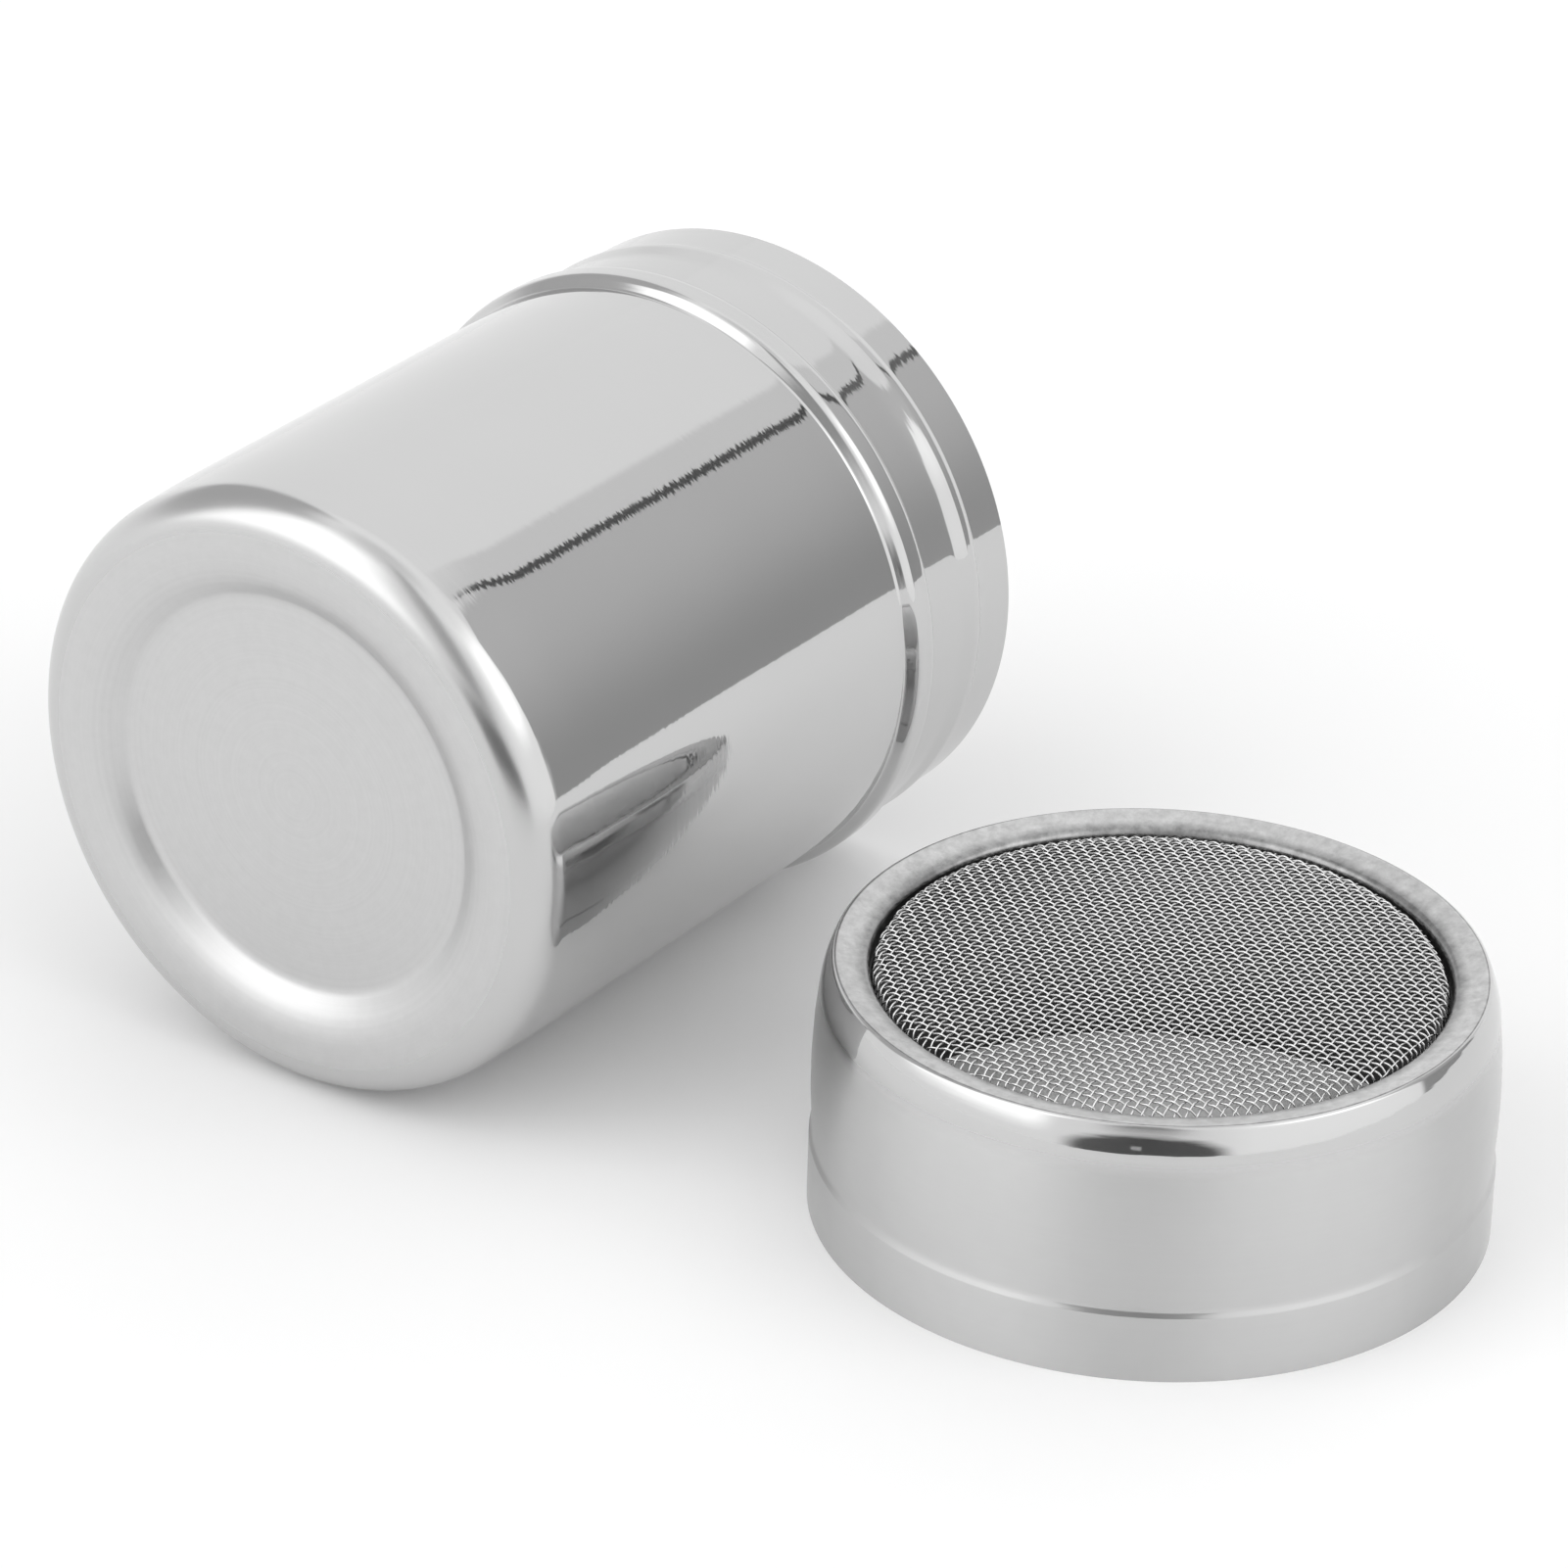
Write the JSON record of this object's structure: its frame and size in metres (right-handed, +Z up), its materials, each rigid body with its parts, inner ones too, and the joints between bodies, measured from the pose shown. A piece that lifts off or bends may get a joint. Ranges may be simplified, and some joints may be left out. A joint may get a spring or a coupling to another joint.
{
  "type": "spice shaker",
  "caption": "Stainless spice and powder shaker: a drawn cup lying on its side and its slip-on lid with a crowned fine wire screen standing beside it, lid lifted off along its own axis.",
  "frame": {"origin": "on the surface that the cup and the lid rest on, under the middle of the pair's bounding box", "axes": "+X along the lying cup from its base to its mouth, +Y from the lid towards the cup, +Z up, along the lid's own axis"},
  "size_m": [0.0862, 0.1578, 0.0719],
  "materials": {
    "polished_steel": "mirror-polished stainless steel",
    "steel_wire": "bright drawn stainless wire, woven",
    "satin_steel": "satin stainless sheet"
  },
  "bodies": {
    "cup": {"cup": "polished_steel"},
    "lid": {"lid_shell": "polished_steel", "mesh_screen": "steel_wire", "retaining_ring": "satin_steel"}
  },
  "joints": [
    {"name": "lid_lift", "type": "slide", "parent": "cup", "child": "lid", "axis": [0, 0, 1], "range_m": [0, 0.12]}
  ]
}
